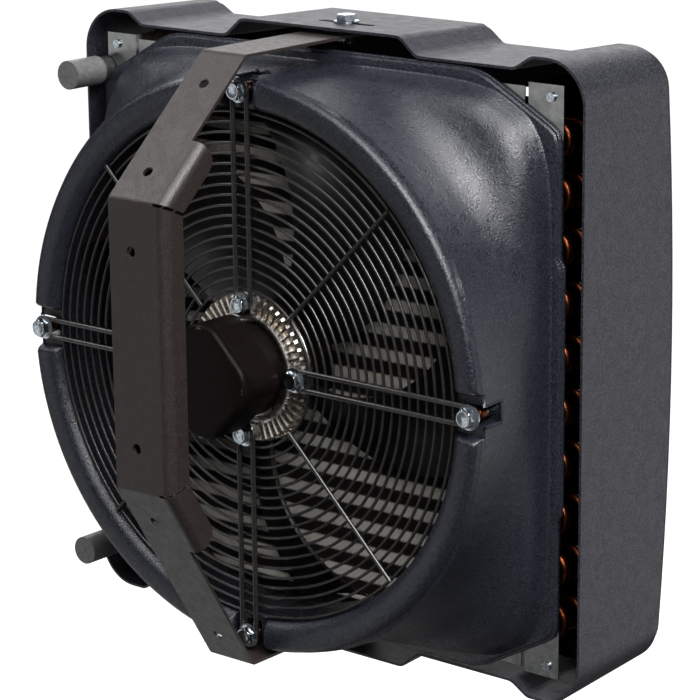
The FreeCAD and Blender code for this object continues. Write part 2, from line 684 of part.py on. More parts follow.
def build_motor_flange():
    """Cast flange with a ring of cooling fins, and the sleeve that holds the bearings."""
    front = point(0, d.motor_flange_front, 0)
    disc = cylinder(front, FRONT, "flange_radius", "motor_flange_thickness")
    sleeve = cylinder(front, FRONT, SLEEVE_RADIUS, "bearing_tube + motor_flange_thickness")
    slots = []
    for i in range(int(d.fin_slots)):
        degrees = (i + 0.5) * 360 / d.fin_slots
        slot = box(0, 0, 0, "flange_radius - fin_root + 5", "fin_slot_depth", "fin_slot_width")
        half_width = polar(d.fin_slot_width / 2, degrees + 90, 0)
        slot.Placement = FreeCAD.Placement(
            polar(d.fin_root, degrees, d.motor_flange_front) - half_width,
            FreeCAD.Rotation(BACK, degrees))
        slots.append(slot)
    bosses = [cylinder(polar(d.inner_bolt_circle, q, d.motor_flange_front), FRONT,
                       "motor_boss / 2", "motor_flange_thickness") for q in QUARTERS]
    holes = [cylinder(polar(d.inner_bolt_circle, q, d.motor_flange_front), FRONT,
                      d.bolt_shank / 2 + BORE, "motor_flange_thickness") for q in QUARTERS]
    bore = cylinder(front + FRONT * d.motor_floor, FRONT, "bearing_diameter / 2", LONG)
    keep(cut(fuse(cut(fuse(disc, sleeve), *slots), *bosses), bore, *holes), "motor_flange")


def ring_along_y(y, outer, inner, width):
    base = point(0, y, 0)
    return cut(cylinder(base, FRONT, outer, width), cylinder(base, FRONT, inner, width))


def build_motor_inside():
    stator = d.stator_diameter / 2
    keep(ring_along_y(d.core_front_y, stator, SLEEVE_RADIUS + FIT, "core_back_y - core_front_y"),
         "stator_core")
    gap = d.bearing_sleeve
    ends = (d.core_front_y - d.winding_width - FIT, d.core_back_y + FIT)
    group("stator_windings", [ring_along_y(y, stator - gap, SLEEVE_RADIUS + gap, "winding_width")
                              for y in ends])
    group("motor_bearings", [ring_along_y(y, d.bearing_diameter / 2 - BORE,
                                          d.shaft_diameter / 2 + FIT, "bearing_width")
                             for y in (d.first_bearing_y, d.second_bearing_y)])


def build_rotor():
    """Shaft, the motor's outer can that turns with it, and the hub ring pressed on the can."""
    keep(cylinder(point(0, d.shaft_start_y, 0), FRONT, "shaft_diameter / 2",
                  "can_back_y - shaft_start_y"), "motor_shaft")
    front = point(0, d.can_front_y, 0)
    can = cut(cylinder(front, FRONT, "can_diameter / 2", "can_back_y - can_front_y"),
              cylinder(front, FRONT, "can_bore / 2", "can_back_y - can_front_y - can_floor"),
              cylinder(front, FRONT, d.shaft_diameter / 2 + BORE, "can_back_y - can_front_y"))
    keep(can, "rotor_can")
    keep(ring_along_y(d.hub_front_y, d.hub_diameter / 2, d.can_diameter / 2 + BORE, "hub_width"),
         "impeller_hub")


def blade_section(part):
    """The blade's section at a fraction of its length: a thin cambered plate on edge."""
    radius = d.blade_root + (d.blade_tip - d.blade_root) * part
    chord = d.root_chord + (d.tip_chord - d.root_chord) * part ** 0.8
    pitch = math.radians(d.root_pitch + (d.tip_pitch - d.root_pitch) * part)
    sweep = d.root_sweep + (d.tip_sweep - d.root_sweep) * part ** 1.5
    half = point(0, -math.sin(pitch), math.cos(pitch)) * (chord / 2)
    square = point(0, math.cos(pitch), math.sin(pitch))
    skin = square * (d.blade_thickness / 2)
    middle = point(radius, d.blade_mid_y, 0)
    crown = middle + square * (chord * d.blade_camber)
    tail, nose = middle - half, middle + half
    section = wire([Part.Arc(tail - skin, crown - skin, nose - skin),
                    Part.LineSegment(nose - skin, nose + skin),
                    Part.Arc(nose + skin, crown + skin, tail + skin),
                    Part.LineSegment(tail + skin, tail - skin)])
    section.rotate(point(0, 0, 0), BACK, sweep)
    return section


def build_blades():
    """Sickle blades: along its length each is pitched less and swept further."""
    last = int(d.blade_sections) - 1
    blade = Part.makeLoft([blade_section(i / last) for i in range(last + 1)], True, False)
    count = int(d.blade_count)
    for i in range(count):
        shaped("fan_blade_%d" % (i + 1), turned(blade, d.first_blade + i * 360 / count))


# ---- terminal box ----------------------------------------------------------

def diamond(grow, y, depth):
    """A rounded square standing on its corner."""
    half = d.box_half + grow
    corners = [(half, half), (-half, half), (-half, -half), (half, -half)]
    outline = rounded(corners, [d.box_corner + grow] * 4, lambda a, b: point(a, y, b))
    return turned(Part.Face(wire(outline)).extrude(FRONT * depth), 45)


def build_terminal_box():
    """Hollow box on a round neck, its lid, four lid screws and a cable gland."""
    inner = -d.box_inset - d.box_wall
    neck_length = d.motor_flange_front - 2 * FIT - d.box_back_y
    neck = Part.makeCylinder(d.neck_radius, neck_length, point(0, d.box_back_y, 0), FRONT)
    depth = d.box_back_y - d.box_front_y
    block = diamond(-d.box_inset, d.box_front_y, depth)
    hollow = diamond(inner, d.box_front_y, depth - d.box_wall)
    out = point(-math.sqrt(0.5), 0, -math.sqrt(0.5))
    axis_point = point(0, d.gland_y, 0)
    entry = Part.makeCylinder(d.gland_hole / 2, LONG, axis_point, out)
    shaped("terminal_box", block.cut(hollow).cut(entry).fuse(neck))
    lid = diamond(0, d.lid_front_y, d.box_front_y - d.lid_front_y - 2 * FIT)
    front_edges = [e for e in lid.Edges if abs(e.BoundBox.YMax - d.lid_front_y) < 0.01]
    lid = lid.makeFillet(d.lid_edge, front_edges)
    lid = lid.cut(diamond(inner, d.lid_front_y + d.lid_edge, depth))
    screws = []
    for degrees in QUARTERS:
        spot = polar(d.box_half + d.lid_edge, degrees, d.lid_front_y)
        lid = lid.cut(Part.makeCylinder(d.lid_screw_recess / 2, d.recess_depth, spot, FRONT))
        low = spot + FRONT * (4 * FIT)
        height = d.recess_depth - 5 * FIT
        head = cylinder(low, FRONT, "lid_screw_head / 2", height)
        slot = box(low.x - d.lid_screw_head / 2, low.y, low.z - height / 3,
                   "lid_screw_head", height * 2 / 3, height * 2 / 3)
        screws.append(cut(head, slot))
    shaped("terminal_lid", lid)
    group("lid_screws", screws)
    wall = axis_point + out * (d.box_half - d.box_inset + 2 * FIT)
    thread = d.gland_nut
    gland = fuse(hexagon(wall, out, "gland_flats", "gland_nut"),
                 cylinder(wall, out, "gland_body / 2", "gland_length"),
                 cylinder(wall - out * thread, out, "gland_thread / 2", "gland_nut"))
    keep(cut(gland, cylinder(wall - out * thread, out, "cable_hole / 2",
                             "gland_length + gland_nut")), "cable_gland")


# ---- console and pivots ----------------------------------------------------

def console_line():
    """The console's outer face in side view, as (y, z) from the top tip to the bottom tip."""
    return [(d.pivot_y + d.console_width / 2, d.console_top_leg),
            (d.console_top_bend_y, d.console_top_leg),
            (d.console_wall_y, d.console_web_top),
            (d.console_wall_y, d.console_web_bottom),
            (d.console_bottom_bend_y, d.console_bottom_leg),
            (d.pivot_y + d.console_width / 2, d.console_bottom_leg)]


def inner_line(line, distance):
    """The same line moved inwards, towards the unit, by distance."""
    normals = []
    for (y0, z0), (y1, z1) in zip(line, line[1:]):
        length = math.hypot(y1 - y0, z1 - z0)
        normals.append((-(z1 - z0) / length, (y1 - y0) / length))
    moved = []
    for i, (y, z) in enumerate(line):
        before = normals[max(i - 1, 0)]
        after = normals[min(i, len(normals) - 1)]
        scale = distance / (1 + before[0] * after[0] + before[1] * after[1])
        moved.append((y + (before[0] + after[0]) * scale, z + (before[1] + after[1]) * scale))
    return moved


def half_space(origin, normal):
    block = Part.makeBox(800, 800, 800, point(-400, -400, 0))
    block.Placement = FreeCAD.Placement(origin, FreeCAD.Rotation(UP, normal))
    return block


def flange_shape(start, end):
    """A stretch of the console's side flange, folded in from its +X edge."""
    run = end - start
    out = FreeCAD.Vector(0, run.z, -run.y).normalize()
    if out.y > 0:
        out = out * -1
    inward = out * -1
    edge = d.console_width / 2
    bend, thick = d.flange_bend, d.console_thickness
    far = edge + d.flange_reach

    def at(x, deep):
        return start + ACROSS * x + inward * deep

    def bent(radius):
        corner = at(far - bend, bend)
        slant = math.sqrt(0.5)
        return corner + ACROSS * (radius * slant) - inward * (radius * slant)

    edges = [Part.LineSegment(at(edge - 1, 0), at(far - bend, 0)),
             Part.Arc(at(far - bend, 0), bent(bend), at(far, bend)),
             Part.LineSegment(at(far, bend), at(far, d.flange_depth)),
             Part.LineSegment(at(far, d.flange_depth), at(far - thick, d.flange_depth)),
             Part.LineSegment(at(far - thick, d.flange_depth), at(far - thick, bend)),
             Part.Arc(at(far - thick, bend), bent(bend - thick), at(far - bend, thick)),
             Part.LineSegment(at(far - bend, thick), at(edge - 1, thick)),
             Part.LineSegment(at(edge - 1, thick), at(edge - 1, 0))]
    return Part.Face(wire(edges)).extrude(run)


def trimmed_flange(start, end, *folds):
    """A flange stretch cut back at each fold along the fold's bisector, with relief."""
    shape = flange_shape(start, end)
    for origin, normal in folds:
        shape = shape.common(half_space(origin + normal * (d.relief_gap / 2), normal))
    return shape


def rounded_end(shape, end, along):
    """Round the free corner of a flange at the end that faces along."""
    low_x = d.console_width / 2 + d.flange_reach - d.console_thickness - 0.1
    picks = []
    for edge in shape.Edges:
        limits = edge.BoundBox
        crosswise = limits.XLength > 2 and limits.YLength < 0.01 and limits.ZLength < 0.01
        if crosswise and limits.XMin > low_x:
            if abs((edge.CenterOfMass - end).dot(along)) < 0.1:
                picks.append(edge)
    return shape.makeFillet(d.flange_corner, picks[:1])


def fold_planes():
    """Bisecting planes of the web's two folds: a point, and the normal towards the web."""
    line = [point(0, y, z) for y, z in console_line()]
    inner = [point(0, y, z) for y, z in inner_line(console_line(), d.console_thickness)]
    planes = []
    for i, side in ((2, -1), (3, 1)):
        crease = inner[i] - line[i]
        normal = FreeCAD.Vector(0, -crease.z, crease.y).normalize()
        planes.append((line[i], normal if normal.z * side > 0 else normal * -1))
    return line, planes


def console_flanges():
    line, (top, bottom) = fold_planes()
    up = (line[1] - line[2]).normalize()
    down = (line[4] - line[3]).normalize()
    top_end, bottom_end = line[2] + up * d.flange_run, line[3] + down * d.flange_run
    web = trimmed_flange(line[3], line[2], bottom, top)
    above = trimmed_flange(line[2], top_end, (top[0], top[1] * -1))
    below = trimmed_flange(line[3], bottom_end, (bottom[0], bottom[1] * -1))
    return [web, rounded_end(above, top_end, up), rounded_end(below, bottom_end, down)]


def hole_along(start, direction, distance):
    """A tool for a screw hole at distance along a leg, square to its face."""
    out = point(0, direction.z, -direction.y)
    at = start + direction * distance + out * d.console_hole
    return cylinder(at, out * -1, "console_hole / 2", "console_hole * 2")


def console_holes():
    line = [point(0, y, z) for y, z in console_line()]
    down_top = (line[2] - line[1]).normalize()
    down_bottom = (line[4] - line[3]).normalize()
    holes = [hole_along(line[1], down_top, distance)
             for distance in (d.upper_strut_near, d.upper_strut_far)]
    holes += [hole_along(line[3], down_bottom, distance)
              for distance in (d.lower_strut_near, d.lower_strut_far)]
    holes += [hole_along(point(0, d.console_wall_y, d.wall_hole_middle), UP * -1, distance)
              for distance in (-d.wall_hole_spacing / 2, d.wall_hole_spacing / 2)]
    pivot = point(0, d.pivot_y, -LONG / 2)
    return holes + [cylinder(pivot, UP, d.pivot_diameter / 2 + BORE, LONG)]


def build_console():
    """Bent strip with rounded ends and a folded flange along its +X edge."""
    outer = console_line()
    inner = inner_line(outer, d.console_thickness)
    bend = d.console_bend_radius
    radii = [0] + [bend] * 4 + [0, 0] + [bend - d.console_thickness] * 4 + [0]
    body = doc.addObject("PartDesign::Body", "console_strip")
    outline = sketch(body, "YZ_Plane", rounded(outer + inner[::-1], radii, flat))
    body.Tip = pad(body, outline, "console_width", Midplane=True)
    half = d.console_width / 2
    tip_block = box(-half - 1, d.pivot_y, -LONG / 2, "console_width + 2", "console_width", LONG)
    tip_round = cylinder(point(0, d.pivot_y, -LONG / 2), UP, "console_width / 2", LONG)
    flanges = []
    for shape in console_flanges():
        item = doc.addObject("Part::Feature", "flange")
        item.Shape = shape
        flanges.append(item)
    keep(cut(fuse(body, *flanges), cut(tip_block, tip_round), *console_holes()), "console_bracket")


def build_pivots():
    """Above and below: a bolt through the casing's slot, a spacer, and a nut in the console."""
    slope = math.tan(math.radians(TAPER))
    head_reach, spacer_reach = d.pivot_washer_diameter / 2, d.pivot_head / 2
    face = d.plateau_height - (d.pivot_y - head_reach) * slope + d.pivot_gap
    under = d.plateau_height - d.casing_wall - (d.pivot_y + spacer_reach) * slope - d.pivot_gap
    bore = d.pivot_diameter / 2 + BORE
    legs = (("upper", 1, d.console_top_leg), ("lower", -1, -d.console_bottom_leg))
    for label, side, leg_face in legs:
        way = UP * side
        inward = way * -1
        leg_under = leg_face - d.console_thickness - FIT

        def at(z):
            return point(0, d.pivot_y, side * z)

        bolt = fuse(cylinder(at(face), way, "pivot_washer_diameter / 2", "pivot_washer"),
                    hexagon(at(face + d.pivot_washer), way, "pivot_nut_flats", "pivot_head_height"),
                    cylinder(at(face), inward, "pivot_diameter / 2",
                             face - leg_under + d.pivot_bolt_end))
        keep(bolt, label + "_pivot_bolt")
        spacer = under - leg_face - FIT
        keep(cut(cylinder(at(under), inward, "pivot_head / 2", spacer),
                 cylinder(at(under), inward, bore, spacer)), label + "_pivot_spacer")
        keep(cut(hexagon(at(leg_under), inward, "pivot_nut_flats", "pivot_nut_height"),
                 cylinder(at(leg_under), inward, bore, "pivot_nut_height")), label + "_pivot_nut")


# ---- build, check, write ---------------------------------------------------

for step in (build_console, build_pivots, build_casing, build_bezel, build_louvres, build_rails,
             build_fin_pack, build_tubes, build_bends, build_end_plates, build_coil_plates,
             build_headers, build_caps, build_corner_screws, build_shroud, build_inserts,
             build_guard, build_arms, build_guard_bolts, build_motor_flange, build_motor_inside,
             build_rotor, build_blades, build_terminal_box):
    step()
doc.recompute()

for item in doc.Objects:
    if {"Invalid", "Error"} & set(item.State):
        raise RuntimeError("%s (%s) failed: %s" % (item.Name, item.Label, item.State))
for item in subparts:
    if item.Shape.isNull() or not item.Shape.isValid() or item.Shape.Volume <= 0:
        raise RuntimeError("%s has no valid shape" % item.Label)
for item in subparts:
    item.Shape.exportStep("parts/%s.step" % item.Label)
print(len(subparts), "sub-parts written")
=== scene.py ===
import json
import math

import bmesh
import bpy
from mathutils import Matrix, Vector


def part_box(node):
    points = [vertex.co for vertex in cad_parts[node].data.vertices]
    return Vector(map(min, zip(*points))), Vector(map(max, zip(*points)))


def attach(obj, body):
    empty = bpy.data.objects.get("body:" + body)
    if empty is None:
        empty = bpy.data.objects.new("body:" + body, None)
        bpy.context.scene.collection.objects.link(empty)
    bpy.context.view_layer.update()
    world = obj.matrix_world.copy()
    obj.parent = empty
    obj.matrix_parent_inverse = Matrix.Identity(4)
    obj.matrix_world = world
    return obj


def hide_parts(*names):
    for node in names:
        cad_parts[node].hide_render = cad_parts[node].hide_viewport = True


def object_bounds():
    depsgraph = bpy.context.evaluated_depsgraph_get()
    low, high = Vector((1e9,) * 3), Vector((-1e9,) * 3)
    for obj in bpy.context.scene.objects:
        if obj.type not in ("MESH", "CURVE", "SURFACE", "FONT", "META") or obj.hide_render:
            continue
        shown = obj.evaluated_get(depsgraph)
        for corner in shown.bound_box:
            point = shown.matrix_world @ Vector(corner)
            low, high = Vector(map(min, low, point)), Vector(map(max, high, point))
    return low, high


# Looks for a fan-blown finned-tube heat exchanger on a wall console.
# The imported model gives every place. Lengths below are millimetres in the unit's own
# axes: X across, Y from the wall to the louvres with 0 at the casing's rear edge,
# Z up with 0 at the fan's axis.

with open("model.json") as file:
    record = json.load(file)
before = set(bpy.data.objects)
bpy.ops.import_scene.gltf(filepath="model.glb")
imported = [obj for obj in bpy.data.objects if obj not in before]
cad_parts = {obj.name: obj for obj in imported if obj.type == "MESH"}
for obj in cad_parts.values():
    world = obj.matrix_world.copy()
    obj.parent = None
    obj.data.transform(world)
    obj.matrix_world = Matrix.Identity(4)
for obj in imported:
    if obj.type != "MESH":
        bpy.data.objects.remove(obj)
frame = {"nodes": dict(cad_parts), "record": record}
cad_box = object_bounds()
nodes = frame["nodes"]
scene = bpy.context.scene

MM = 0.001
TUBE_PITCH = 25
casing_low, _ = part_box("casing_shell")
rings_low, rings_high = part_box("guard_rings")
UNIT = Vector((0, casing_low.y, (rings_low.z + rings_high.z) / 2))


def at(x, y, z):
    """A point given in the unit's axes and millimetres, in the frame's metres."""
    return UNIT + Vector((x, y, z)) * MM


def unit_box(node):
    """A node's lowest and highest corners in the unit's axes and millimetres."""
    low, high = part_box(node)
    return (low - UNIT) / MM, (high - UNIT) / MM


# ---- materials --------------------------------------------------------------

class Look:
    """A Principled material and the nodes that feed it, in the object's own metres."""

    def __init__(self, name, colour, rough, metal=0.0, **sockets):
        self.material = bpy.data.materials.new(name)
        self.material.use_nodes = True
        self.tree = self.material.node_tree
        self.shader = self.tree.nodes["Principled BSDF"]
        self.shader.inputs["Base Color"].default_value = (*colour, 1)
        self.shader.inputs["Roughness"].default_value = rough
        self.shader.inputs["Metallic"].default_value = metal
        for socket, value in sockets.items():
            self.shader.inputs[socket.replace("_", " ")].default_value = value
        self.place = self.node("ShaderNodeTexCoord").outputs["Object"]
        self.height = None

    def node(self, kind, **inputs):
        item = self.tree.nodes.new(kind)
        for socket, value in inputs.items():
            item.inputs[socket.replace("_", " ")].default_value = value
        return item

    def wire(self, start, end):
        self.tree.links.new(start, end)

    def noise(self, size, detail=2.0, rough=0.5, stretch=None):
        """Noise whose blobs are about size millimetres wide, stretched along an axis if asked."""
        item = self.node("ShaderNodeTexNoise", Scale=1 / (size * MM), Detail=detail,
                         Roughness=rough)
        source = self.place
        if stretch:
            mapping = self.node("ShaderNodeMapping")
            mapping.inputs["Scale"].default_value = stretch
            self.wire(source, mapping.inputs["Vector"])
            source = mapping.outputs["Vector"]
        self.wire(source, item.inputs["Vector"])
        return item.outputs["Fac"]

    def ramp(self, source, *stops):
        """A colour ramp; each stop is a place from 0 to 1 and a colour or a grey."""
        item = self.node("ShaderNodeValToRGB")
        elements = item.color_ramp.elements
        while len(elements) < len(stops):
            elements.new(0.5)
        for element, (place, value) in zip(elements, stops):
            element.position = place
            element.color = (*value, 1) if isinstance(value, tuple) else (value, value, value, 1)
        self.wire(source, item.inputs["Fac"])
        return item.outputs["Color"]

    def tint(self, source, low, high, start=0.35, end=0.65):
        """Base colour from low to high as source goes from start to end."""
        self.wire(self.ramp(source, (start, low), (end, high)), self.shader.inputs["Base Color"])
        return self

    def roughen(self, source, low, high, start=0.3, end=0.7):
        self.wire(self.ramp(source, (start, low), (end, high)), self.shader.inputs["Roughness"])
        return self

    def bump(self, source, depth, strength=1.0):
        """Raise the surface by depth millimetres where source is 1; calls add up."""
        item = self.node("ShaderNodeBump", Strength=strength, Distance=depth * MM)
        self.wire(source, item.inputs["Height"])
        if self.height:
            self.wire(self.height, item.inputs["Normal"])
        self.height = item.outputs["Normal"]
        self.wire(self.height, self.shader.inputs["Normal"])
        return self


def powder_coat(name, dark, light, rough, grain, depth, **sockets):
    """Textured powder coat: pebbled grain with lighter flecks and a slow drift of gloss."""
    look = Look(name, light, rough, **sockets)
    fine = look.noise(grain, detail=2.0, rough=0.6)
    look.tint(fine, dark, light, 0.38, 0.64)
    look.roughen(look.noise(grain * 6), rough - 0.05, rough + 0.07)
    look.bump(look.noise(grain * 9, detail=1.0), depth * 0.8)
    look.bump(fine, depth)
    return look.material


def casing_paint():
    return powder_coat("casing_paint", (0.012, 0.012, 0.016), (0.040, 0.040, 0.051),
                       0.40, 2.0, 0.4, Specular_IOR_Level=0.45)


def shroud_paint():
    return powder_coat("shroud_paint", (0.007, 0.008, 0.013), (0.024, 0.026, 0.037),
                       0.27, 1.6, 0.55, Specular_IOR_Level=0.6)


def console_paint():
    return powder_coat("console_paint", (0.014, 0.010, 0.009), (0.032, 0.024, 0.021),
                       0.40, 1.3, 0.3, Specular_IOR_Level=0.6)


def louvre_paint():
    return powder_coat("louvre_paint", (0.022, 0.022, 0.028), (0.038, 0.039, 0.048),
                       0.45, 1.8, 0.3, Specular_IOR_Level=0.35)


def bezel_paint():
    look = Look("bezel_paint", (0.014, 0.015, 0.019), 0.5)
    pebble = look.noise(1.1, detail=1.0)
    look.tint(pebble, (0.011, 0.012, 0.015), (0.019, 0.020, 0.025))
    return look.bump(pebble, 0.3).material


def guard_black():
    look = Look("guard_black", (0.014, 0.012, 0.012), 0.26, Specular_IOR_Level=0.8)
    ripple = look.noise(5.0, detail=1.0)
    look.tint(ripple, (0.010, 0.009, 0.009), (0.020, 0.017, 0.016))
    return look.bump(ripple, 0.12).material


def fan_black():
    look = Look("fan_black", (0.006, 0.005, 0.005), 0.34, Specular_IOR_Level=0.3)
    drift = look.noise(9.0)
    look.tint(drift, (0.004, 0.003, 0.003), (0.009, 0.007, 0.006))
    look.roughen(drift, 0.28, 0.42)
    return look.bump(look.noise(1.6), 0.1).material


def zinc():
    look = Look("zinc", (0.70, 0.74, 0.78), 0.16, metal=1.0)
    spangle = look.noise(2.5, detail=3.0)
    look.tint(spangle, (0.42, 0.50, 0.56), (0.84, 0.88, 0.92))
    look.roughen(look.noise(1.4), 0.10, 0.24)
    return look.bump(look.noise(0.9), 0.05).material


# Depths in the casing over which painted shade darkens the sheet, from none to full.
SHADE_START_DEPTH = 6
SHADE_FULL_DEPTH = 14


def galvanised():
    """Rolled zinc sheet: smooth, with painted shade that darkens it where it lies deep in the
    casing.
    """
    look = Look("galvanised", (0.50, 0.51, 0.50), 0.2, metal=1.0)
    split = look.node("ShaderNodeSeparateXYZ")
    look.wire(look.place, split.inputs["Vector"])
    painted_depth_shade = look.node("ShaderNodeMapRange")
    painted_depth_shade.inputs["From Min"].default_value = UNIT.y + SHADE_START_DEPTH * MM
    painted_depth_shade.inputs["From Max"].default_value = UNIT.y + SHADE_FULL_DEPTH * MM
    look.wire(split.outputs["Y"], painted_depth_shade.inputs["Value"])
    # Painted shade: the sheet's colour goes from bright zinc to a dark brown deeper in the
    # casing.
    look.tint(painted_depth_shade.outputs["Result"], (0.40, 0.41, 0.40), (0.035, 0.024, 0.020), 0.0, 1.0)
    look.roughen(look.noise(9.0, detail=3.0), 0.16, 0.30)
    return look.bump(look.noise(0.8), 0.02).material


def core_steel():
    look = Look("core_steel", (0.36, 0.36, 0.38), 0.34, metal=1.0)
    lines = look.noise(0.8, stretch=(1, 12, 1))
    look.tint(lines, (0.26, 0.26, 0.28), (0.46, 0.46, 0.48))
    return look.bump(lines, 0.02).material


def fin_aluminium():
    """Thin fins; they are bright between the tubes, with painted shade where a tube shades them.
    """
    look = Look("fin_aluminium", (0.94, 0.92, 0.88), 0.35)
    split = look.node("ShaderNodeSeparateXYZ")
    look.wire(look.place, split.inputs["Vector"])
    wave = look.node("ShaderNodeMath")
    wave.operation = "MULTIPLY_ADD"
    wave.inputs[1].default_value = 2 * math.pi / (TUBE_PITCH * MM)
    wave.inputs[2].default_value = -2 * math.pi * UNIT.z / (TUBE_PITCH * MM)
    look.wire(split.outputs["Z"], wave.inputs[0])
    cosine = look.node("ShaderNodeMath")
    cosine.operation = "COSINE"
    look.wire(wave.outputs[0], cosine.inputs[0])
    # Painted shade: a cosine of height at the tube pitch darkens the fins to near black by each
    # tube.
    look.tint(cosine.outputs[0], (0.03, 0.025, 0.022), (0.95, 0.92, 0.86), 0.0, 0.3)
    return look.bump(look.noise(1.2), 0.05).material


def cast_aluminium():
    look = Look("cast_aluminium", (0.80, 0.76, 0.70), 0.3, metal=1.0)
    skin = look.noise(1.8, detail=3.0)
    look.tint(skin, (0.62, 0.58, 0.53), (0.90, 0.86, 0.80))
    look.roughen(look.noise(4.0), 0.22, 0.36)
    return look.bump(skin, 0.03).material


def copper():
    look = Look("copper", (0.40, 0.13, 0.06), 0.3, metal=1.0)
    stain = look.noise(8.0, detail=3.0)
    # Painted shade: the copper is coloured far darker than bare copper for the dim inside of the
    # casing; the noise adds stains.
    look.tint(stain, (0.05, 0.012, 0.005), (0.20, 0.055, 0.020))
    look.roughen(stain, 0.42, 0.22)
    return look.bump(look.noise(1.0), 0.02).material


def header_paint():
    look = Look("header_paint", (0.022, 0.023, 0.024), 0.42, Specular_IOR_Level=0.4)
    blotch = look.noise(5.0, detail=3.0)
    look.tint(blotch, (0.014, 0.015, 0.016), (0.030, 0.031, 0.032))
    return look.bump(look.noise(1.2), 0.06).material


def grey_plastic():
    look = Look("grey_plastic", (0.12, 0.12, 0.12), 0.4)
    drift = look.noise(4.0)
    look.tint(drift, (0.10, 0.10, 0.10), (0.14, 0.14, 0.14))
    return look.bump(look.noise(0.9), 0.06).material


def black_plastic():
    look = Look("black_plastic", (0.003, 0.002, 0.002), 0.28, Specular_IOR_Level=0.08)
    pebble = look.noise(1.0, detail=1.0)
    look.tint(pebble, (0.003, 0.002, 0.002), (0.007, 0.005, 0.004))
    look.roughen(look.noise(12.0), 0.32, 0.44)
    return look.bump(pebble, 0.1).material


MATERIALS = {make.__name__: make() for make in (
    casing_paint, shroud_paint, console_paint, louvre_paint, bezel_paint, guard_black,
    fan_black, zinc, galvanised, core_steel, fin_aluminium, cast_aluminium, copper,
    header_paint, grey_plastic, black_plastic)}


def paint(item, slot):
    item.data.materials.clear()
    item.data.materials.append(MATERIALS[slot])


for subpart in frame["record"]["subparts"]:
    paint(nodes[subpart["node"]], subpart["material_slot"])


# ---- mesh helpers -----------------------------------------------------------

def finished(name, mesh, slot, body, *replaced, sharp=35):
    """Make a mesh a piece: smooth shading with sharp edges, finish, body and stand-in."""
    item = bpy.data.objects.new(name, mesh)
    scene.collection.objects.link(item)
    for face in mesh.polygons:
        face.use_smooth = True
    mesh.set_sharp_from_angle(angle=math.radians(sharp))
    paint(item, slot)
    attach(item, body)
    if replaced:
        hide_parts(*replaced)
    return item


def grid_mesh(name, rows):
    """A closed-round sheet: each row is a ring of points, joined to the next row."""
    count = len(rows[0])
    mesh = bpy.data.meshes.new(name)
    points = [p for row in rows for p in row]
    faces = [(r * count + i, r * count + (i + 1) % count,
              (r + 1) * count + (i + 1) % count, (r + 1) * count + i)
             for r in range(len(rows) - 1) for i in range(count)]
    mesh.from_pydata(points, [], faces)
    mesh.update()
    return mesh


def solid_mesh(name, shape):
    """Close up a bmesh built in parts, turn its faces outwards and make it a mesh."""
    bmesh.ops.remove_doubles(shape, verts=shape.verts, dist=MM / 1000)
    bmesh.ops.recalc_face_normals(shape, faces=shape.faces)
    mesh = bpy.data.meshes.new(name)
    shape.to_mesh(mesh)
    shape.free()
    return mesh


def apply_modifiers(item):
    """Replace the item's mesh with the one that its modifiers give."""
    evaluated = item.evaluated_get(bpy.context.evaluated_depsgraph_get())
    mesh = bpy.data.meshes.new_from_object(evaluated)
    item.modifiers.clear()
    item.data = mesh


# ---- fan shroud -------------------------------------------------------------

SHEET = 2.4

# The flange's outline: cut corners, and a tab in the middle of each upright side.
CUT_ACROSS, CUT_UP, CUT_REACH = 0.490, 0.872, 339.7
TAB_REACH, TAB_HALF, TAB_SLOPE = 4.5, 112, 9
CORNER_SHARPNESS = 90

# The foot of the body: a rounded square.
FOOT_HALF_X, FOOT_HALF_Z, FOOT_SQUARENESS = 267, 271, 6.8

# The notch in the ring at each bolt, and the channel that the bolt lies in.
RING_OUTER = 272
NOTCH_HALF, NOTCH_ROUND, NOTCH_DEPTH = 19.5, 6, -104
CHANNEL_HALF, CHANNEL_INNER, CHANNEL_DEPTH = 10, 249, -79


def smooth(t):
    """Go from 0 to 1 with level ends."""
    t = min(max(t, 0), 1)
    return t * t * (3 - 2 * t)


def flange_reach(angle):
    """Distance from the axis to the flange's octagonal edge, with side tabs at mid-height."""
    across, up = abs(math.cos(angle)), abs(math.sin(angle))
    _, high = unit_box("fan_shroud")
    side_height = high.x * up / max(across, 0.1)
    tab = TAB_REACH * (1 - smooth((side_height - TAB_HALF) / TAB_SLOPE))
    sides = ((across, high.x + tab), (up, high.z),
             (across * CUT_ACROSS + up * CUT_UP, CUT_REACH))
    total = sum((share / reach) ** CORNER_SHARPNESS for share, reach in sides)
    return total ** (-1 / CORNER_SHARPNESS)


def body_reach(angle):
    """Distance from the axis to the foot of the shroud's body, a rounded square."""
    across, up = abs(math.cos(angle)), abs(math.sin(angle))
    total = (across / FOOT_HALF_X) ** FOOT_SQUARENESS + (up / FOOT_HALF_Z) ** FOOT_SQUARENESS
    return total ** (-1 / FOOT_SQUARENESS)


# The flange's lip from its free edge inwards: distance inside the outline, depth.
LIP = ((0.3, 4.3), (0, 3.8), (0, 1.8), (0.5, 1.0), (1.0, 0.7), (2.6, 0.7), (3.0, 0.4),
       (3.3, -0.6), (3.7, -1.4), (4.2, -1.7))
LIP_WIDTH = 4.6

# The bend from the flange into the body: distance inside the bend's start, depth.
BEND = ((0, -1.8), (0.8, -2.1), (1.6, -2.9))
BEND_OUTSIDE, BEND_WIDTH = 3.4, 2.4

# The body's section from foot to ring: share of the way in, share of the way up.
BODY_KEYS = ((0, 0), (0.06, 0.075), (0.12, 0.15), (0.20, 0.215), (0.30, 0.27), (0.44, 0.325),
             (0.58, 0.385), (0.70, 0.46), (0.79, 0.54), (0.86, 0.63), (0.91, 0.73),
             (0.95, 0.83), (0.98, 0.92), (1, 1))
BODY_FOOT, BODY_RISE = -4.4, 102.6

# The body meets the ring a little further out in the corners, where it slopes.
MEETING, CORNER_SPREAD, SPREAD_OVER = 273, 3, 40

